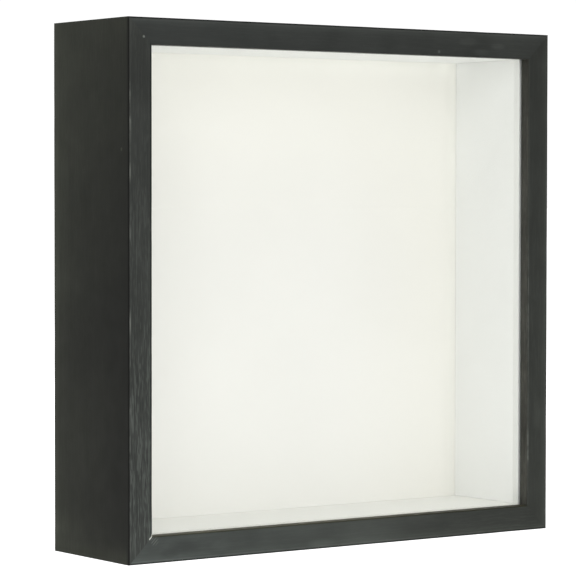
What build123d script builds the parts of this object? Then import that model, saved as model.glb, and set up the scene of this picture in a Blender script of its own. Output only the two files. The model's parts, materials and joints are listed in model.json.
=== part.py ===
"""Deep square shadow box, 300 x 300 mm inside, loaded from the back.

A mitred L-section moulding makes the case. Its front lip holds a glass pane. Four white liner
boards stand behind the glass and keep it in place, and a white display board on a foam pad and an
MDF panel closes the back. Eight turn buttons on the rear edge of the case swing over the MDF panel
to lock it in. Two sawtooth hangers carry the box on a wall, with two rubber bumpers below, and it
also stands on its own base.

Frame: X to the right, Y from front to back, Z up. The origin is the middle of the underside,
between the front of the case and the back of the rubber bumpers.
"""

import os

from build123d import *

# Case, in millimetres
SIDE = 320.0
DEPTH = 85.0
LIP_WIDTH = 16.0
LIP_THICKNESS = 7.5
WALL = 10.0
ARRIS = 0.6
MITRE_GAP = 0.08

# What stands in the case
PLAY = 0.5
LAYER_GAP = 0.1
GLASS_THICKNESS = 2.0
GLASS_ARRIS = 0.3
LINER_ARRIS = 0.25
DISPLAY_THICKNESS = 2.0
FOAM_THICKNESS = 5.0
PANEL_THICKNESS = 3.0
PANEL_RECESS = 0.2
BOARD_ARRIS = 0.25
NOTCH_RADIUS = 12.0

# Corner fasteners: V-nails pressed into the mitres from behind
V_NAIL_LEG = 5.0
V_NAIL_THICKNESS = 0.5
V_NAIL_HEIGHT = 10.0
V_NAIL_INSET = 3.6
V_NAIL_SUNK = 0.15
V_NAIL_PLAY = 0.02

# Turn buttons and their countersunk screws
BUTTON_PITCH = 170.0
BUTTON_INSET = 5.4
BUTTON_ARM = 15.5
BUTTON_ROUND = 4.0
BUTTON_TIP = 3.2
BUTTON_THICKNESS = 1.4
BUTTON_BOSS_RADIUS = 3.5
BUTTON_BOSS_HEIGHT = 2.1
BUTTON_RIB_LENGTH = 8.0
BUTTON_RIB_WIDTH = 2.2
BUTTON_RIB_HEIGHT = 0.7
BUTTON_EDGE_ROUND = 0.56
BUTTON_BOSS_ROUND = 0.25
BUTTON_RIB_ROUND = 0.3
BUTTON_LIFT = 0.1
SCREW_RADIUS = 1.5
SCREW_HEAD_RADIUS = 2.7
SCREW_LENGTH = 13.0
SCREW_TIP = 3.0
SCREW_PLAY = 0.08
PILOT_PLAY = 0.02
RECESS_LENGTH = 3.2
RECESS_WIDTH = 0.7
RECESS_DEPTH = 1.0
SCREW_TURN = 37.0

# Sawtooth hangers and their nails
HANGER_X = 120.0
HANGER_LENGTH = 44.0
HANGER_HEIGHT = 8.0
HANGER_PLATE = 0.8
HANGER_RISE = 1.7
HANGER_TAB = 6.5
HANGER_RAMP = 2.5
HANGER_CORNER = 1.2
TOOTH_PITCH = 2.6
TOOTH_DEPTH = 1.3
TOOTH_COUNT = 9
NAIL_RADIUS = 0.75
NAIL_PLAY = 0.05
NAIL_LENGTH = 11.0
NAIL_HEAD_RADIUS = 1.9
NAIL_HEAD_HEIGHT = 0.7
NAIL_HEAD_ROUND = 0.42

# Rubber bumpers
BUMPER_RADIUS = 4.2
BUMPER_HEIGHT = 3.2
BUMPER_ROUND = 1.2
BUMPER_X = 138.0
BUMPER_Z = 5.3

# Places worked out from the sizes above
FRONT_Y = -(DEPTH + BUMPER_HEIGHT) / 2
REAR_Y = FRONT_Y + DEPTH
CENTRE_Z = SIDE / 2
RAIL_MIDDLE = WALL / 2
OPENING = SIDE - 2 * WALL
INSERT = OPENING - 2 * PLAY
LINER_THICKNESS = LIP_WIDTH - WALL - PLAY
GLASS_Y = FRONT_Y + LIP_THICKNESS + LAYER_GAP
PANEL_Y = REAR_Y - PANEL_RECESS - PANEL_THICKNESS
FOAM_Y = PANEL_Y - FOAM_THICKNESS
DISPLAY_Y = FOAM_Y - DISPLAY_THICKNESS
LINER_Y = GLASS_Y + GLASS_THICKNESS + LAYER_GAP
LINER_DEPTH = DISPLAY_Y - LAYER_GAP - LINER_Y
PILOT_DEPTH = SCREW_LENGTH
INWARD = {
    "top_rail": Vector(0, 0, -1),
    "bottom_rail": Vector(0, 0, 1),
    "left_stile": Vector(1, 0, 0),
    "right_stile": Vector(-1, 0, 0),
}
BACKWARD = Vector(0, 1, 0)
CENTRE = Vector(0, 0, CENTRE_Z)


def along(side):
    """The direction that a rail or stile runs in."""
    return BACKWARD.cross(INWARD[side])


def outer_middle(side):
    """The middle of a rail's or stile's outer face."""
    return CENTRE - INWARD[side] * (SIDE / 2)


def section_plane(side):
    """The plane of a rail's cross-section: its x runs backwards, its y inwards from the outer face."""
    return Plane(origin=outer_middle(side), x_dir=BACKWARD, z_dir=along(side))


def mitre_plane(side, end):
    """The mitre at one end of a rail, facing the material that stays."""
    run = along(side) * end
    facing = -(run + INWARD[side]).normalized()
    corner = outer_middle(side) + run * (SIDE / 2)
    return Plane(origin=corner + facing * (MITRE_GAP / 2), x_dir=BACKWARD, z_dir=facing)


def rear_plane(height=0.0):
    """The plane of the case's rear edge, seen from behind: its x runs along -X and its y along +Z."""
    return Plane(origin=(0, REAR_Y + height, CENTRE_Z), x_dir=(-1, 0, 0), z_dir=BACKWARD)


def front_plane(y):
    """A plane across the case at depth y, facing backwards, centred on the case."""
    return Plane(origin=(0, y, CENTRE_Z), x_dir=(-1, 0, 0), z_dir=BACKWARD)


def button_pivots():
    """Each turn button's side, the end of the side that it is nearer to, and its pivot on the rear edge."""
    pivots = []
    for side in INWARD:
        for end in (-1, 1):
            offset = along(side) * (end * BUTTON_PITCH / 2)
            point = outer_middle(side) + offset + INWARD[side] * BUTTON_INSET + BACKWARD * REAR_Y
            pivots.append((side, end, point))
    return pivots


def hanger_nail_points():
    """Where the hangers' nails enter the top rail, on the rear plane's own x and y."""
    reach = HANGER_LENGTH / 2 - HANGER_TAB / 2
    height = SIDE / 2 - RAIL_MIDDLE
    return [(x + step, height) for x in (-HANGER_X, HANGER_X) for step in (-reach, reach)]


def add_v_outlines(play):
    """Four V-nail outlines, one in each corner of the rear edge, added to the sketch that is open."""
    leg = V_NAIL_LEG + play
    width = V_NAIL_THICKNESS + 2 * play
    for side_x in (-1, 1):
        for side_z in (-1, 1):
            apex_x = side_x * (SIDE / 2 - V_NAIL_INSET)
            apex_z = side_z * (SIDE / 2 - V_NAIL_INSET)
            with Locations((apex_x - side_x * (leg - width / 2) / 2, apex_z)):
                Rectangle(leg + width / 2, width)
            with Locations((apex_x, apex_z - side_z * (leg - width / 2) / 2)):
                Rectangle(width, leg + width / 2)


os.makedirs("parts", exist_ok=True)

# Case: four lengths of L-section moulding, mitred at both ends
for side in INWARD:
    with BuildPart() as moulding:
        with BuildSketch(section_plane(side)):
            with BuildLine():
                Polyline(
                    (FRONT_Y, 0),
                    (REAR_Y, 0),
                    (REAR_Y, WALL),
                    (FRONT_Y + LIP_THICKNESS, WALL),
                    (FRONT_Y + LIP_THICKNESS, LIP_WIDTH),
                    (FRONT_Y, LIP_WIDTH),
                    close=True,
                )
            section = make_face()
            corners = section.vertices()
            outer = corners.group_by(Axis.Y)[0]
            fillet(outer, ARRIS)
        extrude(amount=SIDE / 2, both=True)
        lip_edges = (
            moulding.edges()
            .filter_by(Axis(origin=(0, 0, 0), direction=along(side)))
            .sort_by_distance(outer_middle(side) + INWARD[side] * LIP_WIDTH + BACKWARD * FRONT_Y)
        )
        fillet(lip_edges[0], ARRIS)
        for end in (-1, 1):
            split(bisect_by=mitre_plane(side, end), keep=Keep.TOP)
        # pilot holes for the turn buttons' screws and the hangers' nails
        with BuildSketch(rear_plane()):
            for _, _, point in button_pivots():
                local = rear_plane().to_local_coords(point)
                with Locations((local.X, local.Y)):
                    Circle(SCREW_RADIUS + PILOT_PLAY)
            with Locations(*hanger_nail_points()):
                Circle(NAIL_RADIUS + PILOT_PLAY)
        extrude(amount=-PILOT_DEPTH, mode=Mode.SUBTRACT)
        # slots that the V-nails are pressed into
        with BuildSketch(rear_plane()):
            add_v_outlines(V_NAIL_PLAY)
        extrude(amount=-(V_NAIL_HEIGHT + V_NAIL_SUNK), mode=Mode.SUBTRACT)
    moulding.part.label = side
    export_step(moulding.part, f"parts/{side}.step")

with BuildPart() as v_nails:
    with BuildSketch(rear_plane(-V_NAIL_SUNK)):
        add_v_outlines(0.0)
    extrude(amount=-V_NAIL_HEIGHT)
v_nails.part.label = "corner_v_nails"
export_step(v_nails.part, "parts/corner_v_nails.step")

# Glass pane, its edges ground
with BuildPart() as glass:
    with BuildSketch(front_plane(GLASS_Y)):
        Rectangle(INSERT, INSERT)
    extrude(amount=GLASS_THICKNESS)
    chamfer(glass.edges(), GLASS_ARRIS)
glass.part.label = "glass_pane"
export_step(glass.part, "parts/glass_pane.step")

# White liner: the top and bottom boards run the full width, and the side boards stand between them
LINER_OFFSET = INSERT / 2 - LINER_THICKNESS / 2
LINER_SIDE_HEIGHT = INSERT - 2 * LINER_THICKNESS
liner_boards = {
    "liner_top": ((0, LINER_OFFSET), (INSERT, LINER_THICKNESS)),
    "liner_bottom": ((0, -LINER_OFFSET), (INSERT, LINER_THICKNESS)),
    "liner_left": ((LINER_OFFSET, 0), (LINER_THICKNESS, LINER_SIDE_HEIGHT)),
    "liner_right": ((-LINER_OFFSET, 0), (LINER_THICKNESS, LINER_SIDE_HEIGHT)),
}
for name, (centre, size) in liner_boards.items():
    with BuildPart() as liner:
        with BuildSketch(front_plane(LINER_Y)):
            with Locations(centre):
                Rectangle(*size)
        extrude(amount=LINER_DEPTH)
        chamfer(liner.edges(), LINER_ARRIS)
    liner.part.label = name
    export_step(liner.part, f"parts/{name}.step")

# The backing: display board, foam pad and MDF panel, lifted out together
with BuildPart() as display_board:
    with BuildSketch(front_plane(DISPLAY_Y)):
        Rectangle(INSERT, INSERT)
    extrude(amount=DISPLAY_THICKNESS)
    chamfer(display_board.edges(), BOARD_ARRIS)
display_board.part.label = "display_board"
export_step(display_board.part, "parts/display_board.step")

for name, start_y, thickness in (
    ("foam_pad", FOAM_Y, FOAM_THICKNESS),
    ("back_panel", PANEL_Y, PANEL_THICKNESS),
):
    with BuildPart() as layer:
        with BuildSketch(front_plane(start_y)):
            Rectangle(INSERT, INSERT)
            # thumb notch in the middle of the top edge
            with Locations((0, INSERT / 2)):
                Circle(NOTCH_RADIUS, mode=Mode.SUBTRACT)
        extrude(amount=thickness)
    layer.part.label = name
    export_step(layer.part, f"parts/{name}.step")

# Turn buttons, parked along the rails with their arms towards the middle of each side
for number, (side, end, point) in enumerate(button_pivots(), start=1):
    base = Plane(origin=point + BACKWARD * BUTTON_LIFT, x_dir=along(side) * -end, z_dir=BACKWARD)
    with BuildPart() as button:
        with BuildSketch(base):
            Circle(BUTTON_ROUND)
            with Locations((BUTTON_ARM, 0)):
                Circle(BUTTON_TIP)
            make_hull()
        extrude(amount=BUTTON_THICKNESS)
        fillet(button.faces().sort_by(Axis.Y)[-1].edges(), BUTTON_EDGE_ROUND)
        with BuildSketch(base):
            Circle(BUTTON_BOSS_RADIUS)
        extrude(amount=BUTTON_BOSS_HEIGHT)
        fillet(button.faces().sort_by(Axis.Y)[-1].edges(), BUTTON_BOSS_ROUND)
        # finger rib on the arm
        with BuildSketch(base):
            with Locations((BUTTON_ARM - BUTTON_RIB_LENGTH / 2 + 1.0, 0)):
                SlotOverall(BUTTON_RIB_LENGTH, BUTTON_RIB_WIDTH)
        extrude(amount=BUTTON_THICKNESS + BUTTON_RIB_HEIGHT)
        rib_y = base.origin.Y + BUTTON_THICKNESS + BUTTON_RIB_HEIGHT
        rib_tops = button.faces().filter_by_position(Axis.Y, rib_y - 0.01, rib_y + 0.01)
        fillet(rib_tops.sort_by_distance(point)[-1].edges(), BUTTON_RIB_ROUND)
        # countersunk hole for the screw
        with Locations(base.offset(BUTTON_BOSS_HEIGHT).location):
            CounterSinkHole(
                radius=SCREW_RADIUS + SCREW_PLAY,
                counter_sink_radius=SCREW_HEAD_RADIUS + SCREW_PLAY,
                depth=BUTTON_BOSS_HEIGHT,
            )
    button.part.label = f"turn_button_{number}"
    export_step(button.part, f"parts/turn_button_{number}.step")

# One countersunk screw standing on its axis: its head's top is at the origin and its point is below
with BuildPart() as screw:
    with BuildSketch(Plane.XZ):
        with BuildLine():
            Polyline(
                (0, 0),
                (SCREW_HEAD_RADIUS, 0),
                (SCREW_RADIUS, SCREW_RADIUS - SCREW_HEAD_RADIUS),
                (SCREW_RADIUS, SCREW_TIP - SCREW_LENGTH),
                (0, -SCREW_LENGTH),
                close=True,
            )
        make_face()
    revolve(axis=Axis.Z)
    # cross recess
    with BuildSketch():
        for turn in (0, 90):
            with Locations(Rotation(0, 0, turn)):
                SlotOverall(RECESS_LENGTH, RECESS_WIDTH)
    extrude(amount=-RECESS_DEPTH, mode=Mode.SUBTRACT)

with BuildPart() as screws:
    for number, (side, _, point) in enumerate(button_pivots()):
        head_top = point + BACKWARD * (BUTTON_LIFT + BUTTON_BOSS_HEIGHT)
        # each screw stopped at its own angle
        seat = Plane(origin=head_top, x_dir=along(side), z_dir=BACKWARD).location
        with Locations(seat * Rotation(0, 0, SCREW_TURN * number)):
            add(screw.part)
screws.part.label = "turn_button_screws"
export_step(screws.part, "parts/turn_button_screws.step")

# One sawtooth hanger: a steel strip that lies on the rail at both ends and stands off it between them
with BuildPart() as hanger:
    half = HANGER_LENGTH / 2
    foot = half - HANGER_TAB
    knee = foot - HANGER_RAMP
    with BuildSketch(Plane.XY):
        with BuildLine():
            Polyline(
                (half, 0),
                (foot, 0),
                (knee, HANGER_RISE),
                (-knee, HANGER_RISE),
                (-foot, 0),
                (-half, 0),
                (-half, HANGER_PLATE),
                (-foot, HANGER_PLATE),
                (-knee, HANGER_RISE + HANGER_PLATE),
                (knee, HANGER_RISE + HANGER_PLATE),
                (foot, HANGER_PLATE),
                (half, HANGER_PLATE),
                close=True,
            )
        make_face()
    extrude(amount=HANGER_HEIGHT / 2, both=True)
    fillet(hanger.edges().filter_by(Axis.Y).filter_by_position(Axis.X, foot + 1, half + 1), HANGER_CORNER)
    fillet(hanger.edges().filter_by(Axis.Y).filter_by_position(Axis.X, -half - 1, -foot - 1), HANGER_CORNER)
    # teeth along the lower edge, which the wall's nail catches in
    tooth_span = TOOTH_PITCH * TOOTH_COUNT
    with BuildSketch(Plane.XZ):
        for tooth in range(TOOTH_COUNT):
            left = -tooth_span / 2 + tooth * TOOTH_PITCH
            with BuildLine():
                Polyline(
                    (left, -HANGER_HEIGHT / 2),
                    (left + TOOTH_PITCH / 2, -HANGER_HEIGHT / 2 + TOOTH_DEPTH),
                    (left + TOOTH_PITCH, -HANGER_HEIGHT / 2),
                    close=True,
                )
            make_face()
    extrude(amount=HANGER_RISE + HANGER_PLATE, both=True, mode=Mode.SUBTRACT)
    # nail holes
    with BuildSketch(Plane.XZ):
        with Locations((half - HANGER_TAB / 2, 0), (HANGER_TAB / 2 - half, 0)):
            Circle(NAIL_RADIUS + NAIL_PLAY)
    extrude(amount=HANGER_PLATE, both=True, mode=Mode.SUBTRACT)

for name, x in (("sawtooth_hanger_left", -HANGER_X), ("sawtooth_hanger_right", HANGER_X)):
    with BuildPart() as placed_hanger:
        with Locations((x, REAR_Y, SIDE - RAIL_MIDDLE)):
            add(hanger.part)
    placed_hanger.part.label = name
    export_step(placed_hanger.part, f"parts/{name}.step")

# The hangers' nails, with round heads
with BuildPart() as nails:
    for x, height in hanger_nail_points():
        with BuildSketch(rear_plane(HANGER_PLATE)):
            with Locations((x, height)):
                Circle(NAIL_HEAD_RADIUS)
        extrude(amount=NAIL_HEAD_HEIGHT)
        head_top = rear_plane(HANGER_PLATE + NAIL_HEAD_HEIGHT).from_local_coords((x, height, 0))
        fillet(nails.faces().sort_by_distance(head_top)[0].edges(), NAIL_HEAD_ROUND)
        with BuildSketch(rear_plane(HANGER_PLATE)):
            with Locations((x, height)):
                Circle(NAIL_RADIUS)
        extrude(amount=-NAIL_LENGTH)
nails.part.label = "hanger_nails"
export_step(nails.part, "parts/hanger_nails.step")

# Rubber bumpers on the bottom rail, near its ends
with BuildPart() as bumpers:
    with BuildSketch(rear_plane()):
        with Locations((BUMPER_X, BUMPER_Z - CENTRE_Z), (-BUMPER_X, BUMPER_Z - CENTRE_Z)):
            Circle(BUMPER_RADIUS)
    extrude(amount=BUMPER_HEIGHT)
    fillet(bumpers.faces().sort_by(Axis.Y)[-2:].edges(), BUMPER_ROUND)
bumpers.part.label = "rubber_bumpers"
export_step(bumpers.part, "parts/rubber_bumpers.step")
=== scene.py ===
"""Visual model of the deep square shadow box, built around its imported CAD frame. Lengths are in metres."""

import json
from math import ceil, cos, radians, sin

import bpy
from mathutils import Matrix, Vector, noise


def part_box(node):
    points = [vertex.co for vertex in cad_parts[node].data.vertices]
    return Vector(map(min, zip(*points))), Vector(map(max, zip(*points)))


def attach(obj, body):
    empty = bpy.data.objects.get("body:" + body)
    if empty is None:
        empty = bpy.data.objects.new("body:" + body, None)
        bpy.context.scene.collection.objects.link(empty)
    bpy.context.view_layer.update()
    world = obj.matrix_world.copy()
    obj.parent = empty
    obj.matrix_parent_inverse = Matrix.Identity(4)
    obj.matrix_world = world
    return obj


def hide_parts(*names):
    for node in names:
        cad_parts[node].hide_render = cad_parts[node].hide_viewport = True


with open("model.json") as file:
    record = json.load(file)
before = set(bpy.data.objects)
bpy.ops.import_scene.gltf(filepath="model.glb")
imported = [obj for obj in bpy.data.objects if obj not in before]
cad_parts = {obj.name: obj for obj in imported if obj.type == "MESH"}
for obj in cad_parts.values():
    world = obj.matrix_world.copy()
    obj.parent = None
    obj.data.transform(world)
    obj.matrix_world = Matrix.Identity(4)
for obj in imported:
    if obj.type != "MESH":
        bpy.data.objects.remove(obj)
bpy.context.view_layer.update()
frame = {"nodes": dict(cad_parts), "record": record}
NODES = frame["nodes"]
MM = 0.001

# ---------------------------------------------------------------- camera

# fitted to the corners and edges of the box in the photograph; degrees, and millimetres for lens and sensor
CAMERA_PLACE = Vector((-1.02572, -1.41676, 0.21559))
CAMERA_HEADING, CAMERA_PITCH, CAMERA_ROLL = 35.5068, -1.8834, 0.0556
CAMERA_LENS, CAMERA_SENSOR = 174.17, 36.0
camera_data = bpy.data.cameras.new("camera")
camera_data.sensor_width = CAMERA_SENSOR
camera_data.lens = CAMERA_LENS
camera_data.clip_start, camera_data.clip_end = 0.05, 50.0
camera = bpy.data.objects.new("camera", camera_data)
bpy.context.scene.collection.objects.link(camera)
camera.matrix_world = (
    Matrix.Translation(CAMERA_PLACE)
    @ Matrix.Rotation(radians(-CAMERA_HEADING), 4, "Z")
    @ Matrix.Rotation(radians(90 + CAMERA_PITCH), 4, "X")
    @ Matrix.Rotation(radians(CAMERA_ROLL), 4, "Z")
)
bpy.context.scene.camera = camera


# ---------------------------------------------------------------- node helpers

class Shader:
    """A material's node tree, with short calls for the nodes used here."""

    def __init__(self, name):
        self.material = bpy.data.materials.new(name)
        self.material.use_nodes = True
        self.nodes = self.material.node_tree.nodes
        self.links = self.material.node_tree.links
        self.nodes.clear()
        self.output = self.nodes.new("ShaderNodeOutputMaterial")
        self.place = self.nodes.new("ShaderNodeTexCoord").outputs["Object"]

    def new(self, kind, settings=None, **sockets):
        """A new node, set up; an underscore stands for a space in a socket's name."""
        node = self.nodes.new(kind)
        for key, value in (settings or {}).items():
            setattr(node, key, value)
        for key, value in sockets.items():
            self.feed(node.inputs[key.replace("_", " ")], value)
        return node

    def feed(self, socket, value):
        """Links another node's output to the socket, or sets the socket to a plain value."""
        if isinstance(value, bpy.types.NodeSocket):
            self.links.new(value, socket)
        else:
            socket.default_value = value

    def maths(self, operation, first, second=0.0, third=0.0, clamp=False):
        node = self.nodes.new("ShaderNodeMath")
        node.operation, node.use_clamp = operation, clamp
        for socket, value in zip(node.inputs, (first, second, third)):
            self.feed(socket, value)
        return node.outputs[0]

    def vector(self, operation, first, second):
        node = self.nodes.new("ShaderNodeVectorMath")
        node.operation = operation
        self.feed(node.inputs[0], first)
        self.feed(node.inputs["Scale" if operation == "SCALE" else 1], second)
        return node.outputs[0]

    def noise(self, place, scale=1.0, detail=2.0, rough=0.5, out="Fac"):
        node = self.nodes.new("ShaderNodeTexNoise")
        self.feed(node.inputs["Vector"], place)
        node.inputs["Scale"].default_value = scale
        node.inputs["Detail"].default_value = detail
        node.inputs["Roughness"].default_value = rough
        return node.outputs["Factor" if out == "Fac" and "Factor" in node.outputs else out]

    def spread(self, value, low, high, to_low=0.0, to_high=1.0, smooth=True):
        """value moved from low..high to to_low..to_high, and held at the ends."""
        node = self.nodes.new("ShaderNodeMapRange")
        node.interpolation_type = "SMOOTHSTEP" if smooth else "LINEAR"
        keys = ("Value", "From Min", "From Max", "To Min", "To Max")
        for key, number in zip(keys, (value, low, high, to_low, to_high)):
            self.feed(node.inputs[key], number)
        return node.outputs["Result"]

    def mix(self, share, first, second):
        """The first colour at share 0 and the second at share 1."""
        node = self.nodes.new("ShaderNodeMix")
        node.data_type = "RGBA"
        self.feed(node.inputs["Factor"], share)
        for socket, value in zip((node.inputs[6], node.inputs[7]), (first, second)):
            self.feed(socket, value)
        return node.outputs[2]

    def around(self, centre, radii, core=0.25):
        """1 in the core of an ellipsoid round a point, falling to 0 at the ellipsoid's surface."""
        offset = self.vector("SUBTRACT", self.place, centre)
        scaled = self.vector("MULTIPLY", offset, tuple(1 / r for r in radii))
        length = self.new("ShaderNodeVectorMath", {"operation": "LENGTH"}, Vector=scaled).outputs["Value"]
        return self.spread(length, 1.0, core)

    def attribute(self, name, out="Fac"):
        node = self.nodes.new("ShaderNodeAttribute")
        node.attribute_name = name
        return node.outputs[out]

    def bump(self, height, strength, distance):
        node = self.nodes.new("ShaderNodeBump")
        node.inputs["Strength"].default_value = strength
        node.inputs["Distance"].default_value = distance
        self.feed(node.inputs["Height"], height)
        return node.outputs["Normal"]

    def finish(self, **sockets):
        """Ends the tree in one Principled node and returns the material."""
        node = self.new("ShaderNodeBsdfPrincipled", **sockets)
        self.links.new(node.outputs[0], self.output.inputs["Surface"])
        return self.material


def srgb(red, green, blue):
    """A colour given as 0-255 screen values, as the linear colour that a shader takes."""
    linear = [((c / 255 + 0.055) / 1.055) ** 2.4 if c > 10 else c / 255 / 12.92 for c in (red, green, blue)]
    return (*linear, 1.0)


# ---------------------------------------------------------------- materials

SLOW_WANDER, QUICK_WANDER = 1.6 * MM, 0.3 * MM  # how far the grain strays from a straight line
TOOL_MARK_WAVE = 3000.0  # radians for each metre of x - z, which puts the marks 1.5 mm apart
TOOL_MARKS_RADIUS = 3 * MM
GRAIN_BUMP = 0.06 * MM


def black_wood(name, along, seed, marks, tool_marks):
    """Matt black stain on wood: fine streaks along the grain, soft clouds, pale edges (a painted highlight
    and a scuff), bare chips.
    """
    s = Shader(name)
    shifted = s.vector("ADD", s.place, (seed * 0.37, seed * 0.11, seed * 0.23))
    # the grain wanders: slowly over some 40 mm and quickly over some 8 mm
    slow = s.vector("SUBTRACT", s.noise(shifted, 24.0, 1.0, out="Color"), (0.5, 0.5, 0.5))
    quick = s.vector("SUBTRACT", s.noise(shifted, 120.0, 1.0, out="Color"), (0.5, 0.5, 0.5))
    slow = s.vector("MULTIPLY", slow, (SLOW_WANDER,) * 3)
    quick = s.vector("MULTIPLY", quick, (QUICK_WANDER,) * 3)
    bent = s.vector("ADD", shifted, s.vector("ADD", slow, quick))

    def grain(across, lengthways, detail):
        scale = (across, across, lengthways) if along == "Z" else (lengthways, across, across)
        return s.noise(s.vector("MULTIPLY", bent, scale), 1.0, detail, 0.5)

    # long fibres, broken up along their length
    fibre = s.maths("ADD", s.maths("MULTIPLY", grain(1350.0, 38.0, 1.0), 0.68),
                    s.maths("MULTIPLY", grain(1500.0, 210.0, 0.0), 0.32))
    band = grain(380.0, 18.0, 1.0)
    figure = s.attribute("grain")
    cloud = s.noise(shifted, 21.0, 2.0, 0.55)

    # pale fibres, dark pores and broad bands, as parts of the stain's own brightness
    pale = s.maths("MULTIPLY", s.spread(fibre, 0.51, 0.60), 1.25)
    pores = s.maths("MULTIPLY", s.spread(fibre, 0.47, 0.37), 0.40)
    bands = s.maths("MULTIPLY_ADD", s.spread(band, 0.38, 0.64), 0.05, -0.02)
    streaks = s.maths("ADD", s.maths("SUBTRACT", pale, pores), bands)
    base = s.mix(s.spread(cloud, 0.34, 0.68), srgb(42, 43, 42), srgb(48, 49, 48))
    # the tone from the mesh holds the stain's own shading together with painted light and shade
    base = s.vector("MULTIPLY", base, s.attribute("tone_with_painted_light", "Color"))
    base = s.vector("SCALE", base, s.maths("MULTIPLY_ADD", streaks, figure, 1.0))

    # pale specks, and lighter and darker patches in the stain, each at its own place; the patches are partly
    # painted reflection and shade
    for centre, radii, strength in marks:
        base = s.vector("SCALE", base, s.maths("MULTIPLY_ADD", s.around(centre, radii), strength, 1.0))

    # pale edges: a painted highlight on the left stile's outer front edge and the scuff on the right stile's
    # inner arris
    painted_highlight_and_scuff = s.maths("MULTIPLY", s.attribute("highlight_and_scuff"), s.spread(s.noise(shifted, 160.0, 2.0), 0.30, 0.62))
    base = s.mix(s.maths("MULTIPLY", painted_highlight_and_scuff, 0.8), base, srgb(112, 115, 109))
    if tool_marks is not None:
        # a few short tool marks lie across the rail, side by side, parallel to the mitre
        parts = s.new("ShaderNodeSeparateXYZ", Vector=s.place)
        across = s.maths("SUBTRACT", parts.outputs["X"], parts.outputs["Z"])
        lines = s.spread(s.maths("SINE", s.maths("MULTIPLY", across, TOOL_MARK_WAVE)), 0.3, 1.0)
        near = s.around(tool_marks, (TOOL_MARKS_RADIUS,) * 3, 0.6)
        base = s.mix(s.maths("MULTIPLY", s.maths("MULTIPLY", lines, near), 0.45), base, srgb(118, 120, 114))
    base = s.mix(s.attribute("bare"), base, srgb(226, 226, 218))

    tooth = s.maths("MULTIPLY", s.noise(shifted, 900.0, 1.0), 0.25)
    height = s.maths("ADD", s.maths("MULTIPLY", fibre, figure), tooth)
    rough = s.maths("ADD", s.maths("MULTIPLY", s.noise(shifted, 85.0, 2.0), 0.16), 0.46)
    return s.finish(
        Base_Color=base,
        Roughness=rough,
        Specular_IOR_Level=0.10,
        Normal=s.bump(height, 0.25, GRAIN_BUMP),
    )


# the faces of the liners and of the display board that meet in the far upper corner
RIGHT_LINER, TOP_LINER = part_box("liner_right")[0].x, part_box("liner_top")[0].z
BOARD_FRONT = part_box("display_board")[0].y
# where the display board grows yellower, by height and by distance to the right
YELLOW_UP, YELLOW_RIGHT = (0.15, 0.31), (0.02, 0.15)
# the render shades the board more than the photograph does in these margins, and the lift makes up for it
TOP_MARGIN, RIGHT_MARGIN, CORNER_MARGIN = 14 * MM, 9 * MM, 22 * MM
MARGIN_PAINTED_LIGHT, CORNER_PAINTED_LIGHT = (1.09, 1.10, 1.10, 1.0), 0.09


def white_board(name, colour, edge_colour, seed, yellow_tint=None):
    """A smooth white board: soft mottling, flecks in its edge colour, a fine tooth, painted light in the far
    upper corner, and if a yellow tint is given, that tint and painted light in its margins.
    """
    s = Shader(name)
    shifted = s.vector("ADD", s.place, (seed * 0.31, seed * 0.17, seed * 0.07))
    mottle = s.noise(shifted, 14.0, 2.0, 0.5)
    fleck = s.spread(s.noise(shifted, 700.0, 1.0), 0.72, 0.86)
    base = s.mix(s.spread(mottle, 0.35, 0.65), colour, tuple(c * 0.988 for c in colour[:3]) + (1.0,))
    base = s.mix(s.maths("MULTIPLY", fleck, 0.10), base, edge_colour)
    if yellow_tint is not None:
        # the board is a little yellower towards its top and its right-hand side
        parts = s.new("ShaderNodeSeparateXYZ", Vector=s.place)
        x, z = parts.outputs["X"], parts.outputs["Z"]
        share = s.maths("ADD", s.spread(z, *YELLOW_UP), s.spread(x, *YELLOW_RIGHT), clamp=True)
        base = s.mix(share, base, s.vector("MULTIPLY", base, yellow_tint))
        # painted light against the shade there: lifted under the top liner, more so towards the right, beside
        # the right liner, and a little low down
        under_top = s.spread(z, TOP_LINER - TOP_MARGIN, TOP_LINER, smooth=False)
        under_top = s.maths("MULTIPLY", under_top, s.spread(x, -0.15, 0.11, 0.05, 1.0, smooth=False))
        by_right = s.spread(x, RIGHT_LINER - RIGHT_MARGIN, RIGHT_LINER, 0.0, 0.9, smooth=False)
        low_down = s.spread(z, 0.11, 0.03, 0.0, 0.12)
        painted_light_share = s.maths("MAXIMUM", low_down, s.maths("MAXIMUM", under_top, by_right))
        base = s.vector("MULTIPLY", base, s.mix(painted_light_share, (1.0, 1.0, 1.0, 1.0), MARGIN_PAINTED_LIGHT))
    # painted light against the shade in the far upper corner: all white boards are lifted there, where three
    # of them meet
    corner = s.around((RIGHT_LINER, BOARD_FRONT, TOP_LINER), (CORNER_MARGIN,) * 3, 0.1)
    base = s.vector("SCALE", base, s.maths("MULTIPLY_ADD", corner, CORNER_PAINTED_LIGHT, 1.0))
    tooth = s.noise(shifted, 1500.0, 2.0, 0.6)
    return s.finish(
        Base_Color=base,
        Roughness=s.maths("ADD", s.maths("MULTIPLY", mottle, 0.14), 0.50),
        Specular_IOR_Level=0.35,
        Normal=s.bump(tooth, 0.12, 0.05 * MM),
    )


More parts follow.
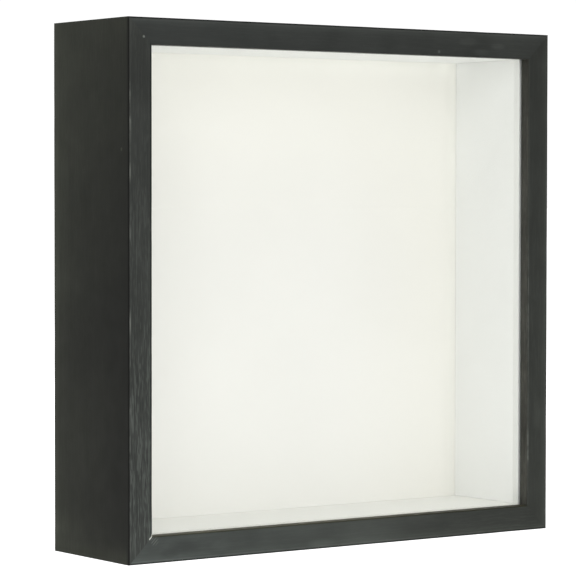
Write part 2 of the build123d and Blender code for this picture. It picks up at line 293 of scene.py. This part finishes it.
def fibre_board(name):
    """Pressed brown fibre board: short tangled fibres, darker flecks, a faint sheen."""
    s = Shader(name)
    tangle = s.vector("MULTIPLY", s.noise(s.place, 300.0, 2.0, out="Color"), (4 * MM,) * 3)
    bent = s.vector("ADD", s.place, tangle)
    first = s.noise(s.vector("MULTIPLY", bent, (2600.0, 1500.0, 420.0)), 1.0, 3.0, 0.6)
    second = s.noise(s.vector("MULTIPLY", bent, (430.0, 1500.0, 2400.0)), 1.0, 3.0, 0.6)
    fibres = s.maths("ADD", s.maths("MULTIPLY", first, 0.5), s.maths("MULTIPLY", second, 0.5))
    cloud = s.noise(s.place, 16.0, 3.0, 0.6)
    base = s.mix(s.spread(fibres, 0.38, 0.62), srgb(122, 88, 57), srgb(172, 132, 92))
    base = s.mix(s.maths("MULTIPLY", s.spread(cloud, 0.35, 0.65), 0.35), base, srgb(139, 101, 66))
    base = s.mix(s.maths("MULTIPLY", s.spread(fibres, 0.68, 0.76), 0.7), base, srgb(70, 47, 30))
    return s.finish(
        Base_Color=base,
        Roughness=s.maths("ADD", s.maths("MULTIPLY", fibres, 0.3), 0.42),
        Normal=s.bump(fibres, 0.4, 0.12 * MM),
    )


def plated_steel(name):
    """Zinc-plated steel: fine brushed lines, dull spots, a little yellow in the passivation."""
    s = Shader(name)
    lines = s.noise(s.vector("MULTIPLY", s.place, (260.0, 2500.0, 5200.0)), 1.0, 2.0, 0.6)
    spots = s.noise(s.place, 420.0, 3.0, 0.6)
    base = s.mix(s.spread(spots, 0.35, 0.7), srgb(196, 198, 196), srgb(168, 166, 156))
    return s.finish(
        Base_Color=base,
        Metallic=1.0,
        Roughness=s.maths("ADD", s.maths("MULTIPLY", lines, 0.25), s.maths("MULTIPLY", spots, 0.25)),
        Normal=s.bump(lines, 0.15, 0.04 * MM),
    )


def lacquered_steel(name):
    """Black lacquered steel with orange-peel and rubbed grey high spots."""
    s = Shader(name)
    peel = s.noise(s.place, 1100.0, 2.0, 0.5)
    rub = s.spread(s.noise(s.place, 260.0, 3.0, 0.7), 0.60, 0.74)
    base = s.mix(s.maths("MULTIPLY", rub, 0.35), srgb(38, 38, 40), srgb(92, 92, 90))
    return s.finish(
        Base_Color=base,
        Roughness=s.maths("ADD", s.maths("MULTIPLY", rub, 0.2), 0.30),
        Normal=s.bump(peel, 0.25, 0.06 * MM),
    )


def moulded_rubber(name):
    """Soft black rubber with a dusty matt skin."""
    s = Shader(name)
    skin = s.noise(s.place, 1800.0, 2.0, 0.6)
    base = s.mix(s.spread(s.noise(s.place, 350.0, 2.0), 0.4, 0.7), srgb(34, 34, 35), srgb(56, 56, 56))
    return s.finish(
        Base_Color=base,
        Roughness=s.maths("ADD", s.maths("MULTIPLY", skin, 0.2), 0.66),
        Normal=s.bump(skin, 0.3, 0.05 * MM),
    )


def clear_pane(name):
    """Picture glass: clear, with the mirroring of its two faces on the side that is met first."""
    s = Shader(name)
    behind = s.new("ShaderNodeNewGeometry").outputs["Backfacing"]
    mirror = s.maths("MULTIPLY", s.new("ShaderNodeFresnel", IOR=1.5).outputs[0], 1.8, clamp=True)
    share = s.maths("MULTIPLY", mirror, s.maths("SUBTRACT", 1.0, behind))
    smear = s.spread(s.noise(s.place, 9.0, 3.0, 0.6), 0.45, 0.75, 0.0, 0.05)
    clear = s.new("ShaderNodeBsdfTransparent", Color=(0.991, 0.994, 0.991, 1.0))
    gloss = s.new("ShaderNodeBsdfAnisotropic", Color=(1, 1, 1, 1), Roughness=smear)
    both = s.new("ShaderNodeMixShader")
    s.feed(both.inputs[0], share)
    s.links.new(clear.outputs[0], both.inputs[1])
    s.links.new(gloss.outputs[0], both.inputs[2])
    s.links.new(both.outputs[0], s.output.inputs["Surface"])
    return s.material


WHITE_LINER = srgb(243, 244, 242)
WHITE_DISPLAY = srgb(234, 233, 228)
YELLOW_CAST = (1.0, 0.994, 0.975)
MATERIALS = {
    "white_liner": white_board("liner_board", WHITE_LINER, srgb(205, 205, 198), 2.0),
    "dusty_liner": white_board("painted_shade_liner_board", srgb(236, 236, 231), srgb(200, 199, 190), 2.0),
    "white_display": white_board("display_board", WHITE_DISPLAY, srgb(214, 210, 198), 5.0, YELLOW_CAST),
    "foam_board": white_board("foam_board", srgb(226, 223, 213), srgb(190, 186, 175), 9.0),
    "brown_mdf": fibre_board("fibre_board"),
    "black_steel": lacquered_steel("lacquered_steel"),
    "zinc_steel": plated_steel("plated_steel"),
    "black_rubber": moulded_rubber("moulded_rubber"),
    "glass": clear_pane("picture_glass"),
}
SLOT_OF = {row["node"]: row["material_slot"] for row in frame["record"]["subparts"]}


def dress(piece, material):
    """Gives a piece one material."""
    slots = piece.data.materials
    if len(slots) == 0:
        slots.append(material)
    for index in range(len(slots)):
        slots[index] = material


# ---------------------------------------------------------------- the case's four mouldings

CASE_LOW, CASE_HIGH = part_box("left_stile")
FRONT, REAR, SIDE = CASE_LOW.y, CASE_HIGH.y, CASE_HIGH.z - CASE_LOW.z
HALF = -CASE_LOW.x
LIP_WIDTH, LIP_THICKNESS, WALL = 16 * MM, 7.5 * MM, 10 * MM
ARRIS = 0.6 * MM  # the radius of the rounded edges
# each moulding runs past its mitres by this much, so that no light shows through them
MITRE_OVERLAP = 0.002 * MM
INWARD = {
    "top_rail": Vector((0, 0, -1)),
    "bottom_rail": Vector((0, 0, 1)),
    "left_stile": Vector((1, 0, 0)),
    "right_stile": Vector((-1, 0, 0)),
}
# how finely a moulding's mesh is divided: along its length, round an arris, and across each face
STATIONS = 260
ARC_POINTS = 5
REAR_STEP, OUTER_STEP, FRONT_STEP, LIP_STEP = 1.2 * MM, 1.3 * MM, 0.32 * MM, 0.7 * MM
LEDGE_STEP, RABBET_STEP = 2.0 * MM, 8.0 * MM
SHARP_ANGLE = radians(38)


def section_points():
    """The moulding's outline, round from its inner rear edge: (inset, y, outward normal, face) at each point.
    The inset is the distance inwards from the case's outer face."""
    points = []

    def line(start, end, step, face):
        """Points at even steps from start, up to but not including end."""
        length = max(abs(end[0] - start[0]), abs(end[1] - start[1]))
        count = max(1, ceil(length / step))
        normal = ((end[1] - start[1]) / length, -(end[0] - start[0]) / length)
        for k in range(count):
            point = tuple(a + (b - a) * (k / count) for a, b in zip(start, end))
            points.append((*point, normal, face))

    def arc(centre, begin, end, face):
        """A rounded edge between two angles in degrees, up to but not including the second."""
        for k in range(ARC_POINTS):
            angle = radians(begin + (end - begin) * k / ARC_POINTS)
            normal = (cos(angle), sin(angle))
            points.append((centre[0] + ARRIS * normal[0], centre[1] + ARRIS * normal[1], normal, face))

    # across the rear, along the outer face, over the front, round the lip and back along the rabbet
    ledge = FRONT + LIP_THICKNESS
    line((WALL, REAR), (ARRIS, REAR), REAR_STEP, "rear")
    arc((ARRIS, REAR - ARRIS), 90, 180, "arris")
    line((0, REAR - ARRIS), (0, FRONT + ARRIS), OUTER_STEP, "outer")
    arc((ARRIS, FRONT + ARRIS), 180, 270, "arris")
    line((ARRIS, FRONT), (LIP_WIDTH - ARRIS, FRONT), FRONT_STEP, "front")
    arc((LIP_WIDTH - ARRIS, FRONT + ARRIS), 270, 360, "lip_arris")
    line((LIP_WIDTH, FRONT + ARRIS), (LIP_WIDTH, ledge), LIP_STEP, "lip")
    line((LIP_WIDTH, ledge), (WALL, ledge), LEDGE_STEP, "rabbet")
    line((WALL, ledge), (WALL, REAR), RABBET_STEP, "rabbet")
    return points


def between(table, x):
    """A smooth value at x from (position, value) pairs in rising order."""
    for (x0, v0), (x1, v1) in zip(table, table[1:]):
        if x <= x1:
            share = max(0.0, (x - x0) / (x1 - x0))
            return v0 + (v1 - v0) * share * share * (3 - 2 * share)
    return table[-1][1]


# How pale the stain is, against its own colour, with painted light and shade: sides darker than fronts, paler
# low down.
# ALONG tables run up a stile or along a rail to the right, DEPTH back from the front and ACROSS inwards from
# the outer edge, each from 0 to 1.
SIDE_ALONG = ((0.0, 1.55), (0.01, 1.30), (0.035, 0.88), (0.1, 0.64), (0.4, 0.54), (0.7, 0.68), (1.0, 1.00))
SIDE_DEPTH = ((0.0, 0.10), (0.010, 0.12), (0.022, 0.42), (0.10, 0.46), (0.5, 0.68), (0.75, 0.90), (0.9, 1.25),
              (0.97, 1.8), (1.0, 1.4))
# towards its two ends the side evens out to one shade from front to rear, by the share in the table
SIDE_EVEN = 0.72
SIDE_EVENED = ((0.0, 1.0), (0.05, 0.0), (0.65, 0.0), (0.95, 0.6))
SIDE_FRONT_EDGE = 0.03  # the painted shade line at the front edge keeps its own darkness
SIDE_TINT = (1.04, 1.08, 0.83)
REAR_SHADE, REAR_TINT = 0.8, (1.0, 1.01, 0.97)
LIP_TINTS = {
    "left_stile": (1.75, 1.68, 1.50),
    "right_stile": (1.75, 1.68, 1.50),
    "top_rail": (1.75, 1.68, 1.50),
    "bottom_rail": (1.00, 0.90, 0.54),
}
FRONT_ALONG = {
    "left_stile": ((0.0, 1.60), (0.25, 1.35), (0.5, 1.13), (0.87, 0.96), (1.0, 1.16)),
    "right_stile": ((0.0, 1.06), (0.5, 0.93), (1.0, 0.79)),
    "top_rail": ((0.0, 0.93), (0.5, 0.86), (0.85, 0.90), (1.0, 0.80)),
    "bottom_rail": ((0.0, 1.80), (0.5, 1.62), (0.8, 1.06), (1.0, 1.02)),
}
# the cast at the lower or left end and at the upper or right end
FRONT_TINTS = {
    "left_stile": ((0.98, 1.03, 0.98), (0.99, 1.02, 0.96)),
    "right_stile": ((1.00, 1.04, 0.94), (1.00, 1.03, 0.94)),
    "top_rail": ((0.98, 1.03, 1.00), (0.99, 1.03, 0.97)),
    "bottom_rail": ((0.97, 1.05, 1.02), (1.00, 1.04, 0.94)),
}
FRONT_ACROSS = ((0.0, 0.25), (0.035, 0.4), (0.055, 1.0), (0.085, 1.7), (0.14, 1.28), (0.35, 1.06), (0.6, 1.0))
LEFT_ACROSS = ((0.0, 0.05), (0.015, 0.1), (0.035, 1.2), (0.12, 1.0), (0.8, 1.0), (0.905, 1.12), (0.935, 0.35),
               (1.0, 0.1))
# painted light and shade on the inner rounded edge, against the front beside it: dark on the left stile,
# light on the right
LIP_ARRIS_LIGHT_AND_SHADE = {
    "left_stile": (0.35, 0.35, 0.35),
    "right_stile": (1.35, 1.35, 1.35),
    "top_rail": (0.9, 0.9, 0.9),
    "bottom_rail": (0.68, 0.64, 0.48),
}
# how strongly the grain shows, from 0 to 1, up each stile and along each rail
FIGURE = {
    "left_stile": ((0.0, 0.28), (0.07, 0.64), (0.3, 0.62), (0.42, 0.45), (0.47, 0.28), (0.62, 0.34),
                   (0.8, 0.15)),
    "right_stile": ((0.0, 0.06), (0.3, 0.14), (1.0, 0.08)),
    "top_rail": ((0.0, 0.06), (1.0, 0.08)),
    "bottom_rail": ((0.0, 0.05), (0.6, 0.05), (1.0, 0.15)),
}
SIDE_FIGURE = 0.12
LIP_FIGURE = 0.35
GRAIN_DEPTH = 0.05 * MM
DENT_DEPTH = 0.08 * MM
# the width of the painted highlight along the left stile's outer front edge
HIGHLIGHT_WIDTH = 1.1 * MM
# a scuff up the right stile's inner arris, by height
SCUFF = ((0.041, 0.0), (0.047, 1.0), (0.060, 0.8), (0.068, 0.05), (0.09, 0.05), (0.13, 0.35), (0.15, 0.35),
         (0.20, 0.0))
SCUFF_STRENGTH = 0.6
# the chip at the lower left inner corner: where it starts at the mitre, how much further in it starts at each
# station away from there, and how many stations it spans
CHIP_INSET, CHIP_STEP, CHIP_STATIONS = 14.1 * MM, 1.3 * MM, 2
# where the tool marks lie on the bottom rail, near its left mitre
TOOL_MARKS = (-HALF + LIP_WIDTH + 1.6 * MM, FRONT, LIP_WIDTH - 2.8 * MM)
# each mark's place, its radii, and how much it brightens the stain
MARKS = {
    "left_stile": (((-0.1496, FRONT, 0.3086), (0.0011, 0.004, 0.0011), 4.0),
                   ((-0.160, -0.036, 0.243), (0.004, 0.0012, 0.0016), 2.0)),
    "right_stile": (((0.1515, FRONT, 0.075), (0.004, 0.004, 0.016), 0.25),
                    ((0.1440, -0.0405, 0.072), (0.003, 0.005, 0.028), -0.24)),
    "top_rail": (((0.094, FRONT, 0.3135), (0.011, 0.004, 0.0035), 0.35),
                 ((0.118, FRONT, 0.3110), (0.008, 0.004, 0.0030), 0.25),
                 ((0.104, FRONT, 0.3073), (0.009, 0.004, 0.0028), 0.40),
                 ((0.070, FRONT, 0.3065), (0.0014, 0.004, 0.0014), 1.2)),
    "bottom_rail": (((-0.122, FRONT, 0.0085), (0.014, 0.004, 0.0065), -0.20),
                    ((-0.132, FRONT, 0.0050), (0.009, 0.004, 0.0040), -0.20),
                    ((-0.021, FRONT, 0.0034), (0.014, 0.004, 0.0035), 0.28),
                    ((-0.095, FRONT, 0.0075), (0.010, 0.004, 0.005), 0.22),
                    ((0.060, FRONT, 0.0080), (0.030, 0.004, 0.006), -0.10)),
}


def on_side(face, inset):
    """True on the outer face and on the part of its rounded edges next to it."""
    return face == "outer" or (face == "arris" and inset < ARRIS / 2)


def stain_with_painted_light(name, face, inset, y, place):
    """How pale the stain is at a point, painted light and shade included, as multipliers of its own red,
    green and blue.
    """
    if on_side(face, inset):
        depth = (y - FRONT) / (REAR - FRONT)
        shade = between(SIDE_DEPTH, depth)
        if depth > SIDE_FRONT_EDGE:
            shade += (SIDE_EVEN - shade) * between(SIDE_EVENED, place)
        level, tint = between(SIDE_ALONG, place) * shade, SIDE_TINT
    elif face == "rear":
        level, tint = REAR_SHADE, REAR_TINT
    elif face == "lip":
        level, tint = between(FRONT_ALONG[name], place), LIP_TINTS[name]
    else:
        across = LEFT_ACROSS if name == "left_stile" else FRONT_ACROSS
        level = between(FRONT_ALONG[name], place) * between(across, inset / LIP_WIDTH)
        tint = [a + (b - a) * place for a, b in zip(*FRONT_TINTS[name])]
        if face == "lip_arris":
            tint = [a * b for a, b in zip(tint, LIP_ARRIS_LIGHT_AND_SHADE[name])]
    return [level * c for c in tint]


def figure_at(name, face, inset, place):
    """How strongly the grain shows at a point."""
    if on_side(face, inset):
        return SIDE_FIGURE
    if face in ("lip", "rear"):
        return LIP_FIGURE
    return between(FIGURE[name], place)


def uneven(x, y, z):
    """Smooth random unevenness at a point, from about -1 to 1."""
    return noise.noise(Vector((x, y, z)))


def cut_depth(face, figure, along, inset, y, seed):
    """How deep the open grain and the dents in the rounded edges go at a point."""
    depth = 0.0
    if face not in ("rabbet", "rear"):
        sway = uneven(along * 30, seed, inset * 40) * 0.6 + uneven(along * 120, inset * 60, seed) * 0.12
        ridge = uneven(along * 40 + seed, inset * 800 + seed * 3 + sway, y * 800 + sway)
        depth = GRAIN_DEPTH * figure * (0.5 + 0.5 * ridge)
    if "arris" in face:
        depth += DENT_DEPTH * max(0.0, uneven(along * 45 + seed, 4.7, inset * 90) * 1.6 - 0.1)
    return depth


def highlight_and_scuff_at(name, face, along, inset, height, seed):
    """How pale an edge is made at a point, from 0 to 1: a painted highlight on the left stile's outer front
    edge, a scuff on the right stile's inner arris.
    """
    if name == "left_stile" and face == "front" and inset < ARRIS + HIGHLIGHT_WIDTH:
        # a painted highlight lies on the outer edge here and there
        rub = max(0.0, uneven(along * 70 + seed, 4.7, inset * 200) * 1.8)
        return min(rub * (1 - (inset - ARRIS) / HIGHLIGHT_WIDTH), 1.0)
    if name == "right_stile" and face == "lip_arris":
        return SCUFF_STRENGTH * between(SCUFF, height)
    return 0.0


def is_chipped(face, inset, stations_off):
    """True where the chip has broken the stain away, that many stations off the mitre."""
    on_front = face in ("front", "lip_arris") and stations_off < CHIP_STATIONS
    return on_front and inset > CHIP_INSET + stations_off * CHIP_STEP


def swept_mesh(name, verts, ring):
    """A closed mesh through rings of points, one ring at each station, with caps on both ends."""
    faces = []
    for station in range(STATIONS):
        low, high = station * ring, (station + 1) * ring
        for k in range(ring):
            after = (k + 1) % ring
            faces.append((low + k, high + k, high + after, low + after))
    faces.append(tuple(range(ring)))
    faces.append(tuple(STATIONS * ring + k for k in reversed(range(ring))))
    mesh = bpy.data.meshes.new(name)
    mesh.from_pydata([tuple(v) for v in verts], [], faces)
    return mesh


def moulding(name, seed, chipped=False):
    """One mitred length of moulding, with its grain and wear cut into the surface."""
    inward = INWARD[name]
    run = Vector((0, 1, 0)).cross(inward)
    middle = Vector((0, 0, HALF)) - inward * HALF
    upright = name.endswith("stile")
    outline = section_points()
    verts, grain, highlight_and_scuff, bare, tone_with_painted_light = [], [], [], [], []
    for station in range(STATIONS + 1):
        share = 2 * station / STATIONS - 1
        for inset, y, normal, face in outline:
            along = share * (HALF - inset)
            spot = middle + run * along + inward * inset
            place = spot.z / SIDE if upright else 0.5 + spot.x / SIDE
            figure = figure_at(name, face, inset, place)
            depth = cut_depth(face, figure, along, inset, y, seed)
            # the cut goes inwards, never past the case's own faces, and the ends follow it along the mitre
            cut_inset = max(inset - normal[0] * depth, 0.0)
            cut_y = min(max(y - normal[1] * depth, FRONT), REAR)
            reach = min(HALF - cut_inset + MITRE_OVERLAP, HALF)
            verts.append(middle + run * (share * reach) + inward * cut_inset + Vector((0, cut_y, 0)))
            grain.append(figure)
            highlight_and_scuff.append(highlight_and_scuff_at(name, face, along, inset, spot.z, seed))
            bare.append(1.0 if chipped and is_chipped(face, inset, STATIONS - station) else 0.0)
            tone_with_painted_light.extend((*stain_with_painted_light(name, face, inset, y, place), 1.0))
    mesh = swept_mesh(name + "_moulding", verts, len(outline))
    for key, values in (("grain", grain), ("highlight_and_scuff", highlight_and_scuff), ("bare", bare)):
        mesh.attributes.new(key, "FLOAT", "POINT").data.foreach_set("value", values)
    mesh.attributes.new("tone_with_painted_light", "FLOAT_COLOR", "POINT").data.foreach_set("color", tone_with_painted_light)
    mesh.polygons.foreach_set("use_smooth", [True] * len(mesh.polygons))
    mesh.set_sharp_from_angle(angle=SHARP_ANGLE)
    mesh.validate()
    piece = bpy.data.objects.new(name + "_moulding", mesh)
    bpy.context.scene.collection.objects.link(piece)
    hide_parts(name)
    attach(piece, "case")
    tool_marks = TOOL_MARKS if name == "bottom_rail" else None
    dress(piece, black_wood(name + "_wood", "Z" if upright else "X", seed, MARKS[name], tool_marks))


moulding("left_stile", 3.1, chipped=True)
moulding("right_stile", 8.4)
moulding("top_rail", 5.6)
moulding("bottom_rail", 12.9)

# ---------------------------------------------------------------- the CAD pieces' finishes

for node, piece in NODES.items():
    slot = SLOT_OF[node]
    if slot in MATERIALS:
        dress(piece, MATERIALS[slot])
# the lowest liner board is a duller white than the others: painted shade
dress(NODES["liner_bottom"], MATERIALS["dusty_liner"])

# ---------------------------------------------------------------- stage and light

FLOOR_REACH = 40.0
FLOOR_DROP = 0.05 * MM  # the floor lies this far under the case, so that their faces do not coincide
FADE = (1.2, 5.0)  # the distance from the case over which the paper gives way to its glow
HORIZON = 0.78  # brightness of the far floor and of the sky where they meet
NEAR_GLOW, SEEN_GLOW = 0.355, 0.45  # the floor's own light near the case, and what the camera's view adds
OVERHEAD, SEEN_SKY = 0.335, 1.05  # the sky's brightness overhead as light, and of all of it to the camera
SKY_HEIGHT = 0.9  # the sine of the angle above the horizon where the sky has dimmed fully
WHITE = (1.0, 1.0, 1.0, 1.0)

floor_mesh = bpy.data.meshes.new("floor")
corners = [(-FLOOR_REACH, -FLOOR_REACH, 0), (FLOOR_REACH, -FLOOR_REACH, 0), (FLOOR_REACH, FLOOR_REACH, 0),
           (-FLOOR_REACH, FLOOR_REACH, 0)]
floor_mesh.from_pydata(corners, [], [(0, 1, 2, 3)])
floor = bpy.data.objects.new("floor", floor_mesh)
floor.location.z = -FLOOR_DROP
bpy.context.scene.collection.objects.link(floor)
paper = Shader("floor_paper")
paper_colour = paper.mix(paper.noise(paper.place, 3.0, 2.0), (0.86, 0.86, 0.86, 1), (0.89, 0.89, 0.89, 1))
# the paper is lit to pure white where it is seen; far away it only glows, as bright as the sky at the
# horizon, so that the glass mirrors no line there
away = paper.new("ShaderNodeVectorMath", {"operation": "LENGTH"}, Vector=paper.place).outputs["Value"]
paper_colour = paper.mix(paper.spread(away, *FADE), paper_colour, (0, 0, 0, 1))
seen = paper.maths("MULTIPLY", paper.new("ShaderNodeLightPath").outputs["Is Camera Ray"], SEEN_GLOW)
glow = paper.maths("ADD", seen, paper.spread(away, *FADE, NEAR_GLOW, HORIZON))
dress(floor, paper.finish(Base_Color=paper_colour, Roughness=0.9, Specular_IOR_Level=0.1,
                          Emission_Color=WHITE, Emission_Strength=glow))

world = bpy.data.worlds.new("studio")
bpy.context.scene.world = world
world.use_nodes = True
tree = world.node_tree
sky = tree.nodes["Background"]
sky.inputs["Color"].default_value = WHITE


def ranged(value, low, high, to_low, to_high):
    """In the sky's nodes: value moved from low..high to to_low..to_high, held at the ends."""
    node = tree.nodes.new("ShaderNodeMapRange")
    for key, number in zip(("From Min", "From Max", "To Min", "To Max"), (low, high, to_low, to_high)):
        if isinstance(number, bpy.types.NodeSocket):
            tree.links.new(number, node.inputs[key])
        else:
            node.inputs[key].default_value = number
    tree.links.new(value, node.inputs["Value"])
    return node.outputs["Result"]


# the background is seen pure white; as light it is as bright as the floor at the horizon and dimmer overhead
direction = tree.nodes.new("ShaderNodeSeparateXYZ")
tree.links.new(tree.nodes.new("ShaderNodeTexCoord").outputs["Generated"], direction.inputs["Vector"])
dome = ranged(direction.outputs["Z"], 0.0, SKY_HEIGHT, HORIZON, OVERHEAD)
camera_ray = tree.nodes.new("ShaderNodeLightPath").outputs["Is Camera Ray"]
tree.links.new(ranged(camera_ray, 0.0, 1.0, dome, SEEN_SKY), sky.inputs["Strength"])


def softbox(name, place, target, size, power):
    """A square soft light of that width in metres and power in watts at place, facing target."""
    data = bpy.data.lights.new(name, "AREA")
    data.size, data.energy = size, power
    light = bpy.data.objects.new(name, data)
    bpy.context.scene.collection.objects.link(light)
    light.location = place
    light.rotation_euler = (Vector(target) - Vector(place)).to_track_quat("-Z", "Y").to_euler()
    return light


MIDDLE = (0, 0, HALF)  # of the case
softbox("key", (-1.6, -1.9, 0.9), MIDDLE, 1.2, 14.0)
softbox("overhead", (0.0, -0.5, 2.4), MIDDLE, 1.4, 25.9)
softbox("side", (-2.6, 0.3, 0.6), MIDDLE, 1.2, 10.5)
low = softbox("low", (0.2, -1.6, 0.24), (0, 0, 0.20), 0.34, 0.78)
# it faces the pane squarely, so it is kept out of the glass's reflections, and narrowed to spare the floor
low.visible_glossy = False
low.data.spread = radians(70)

bpy.context.scene.view_settings.view_transform = "Standard"
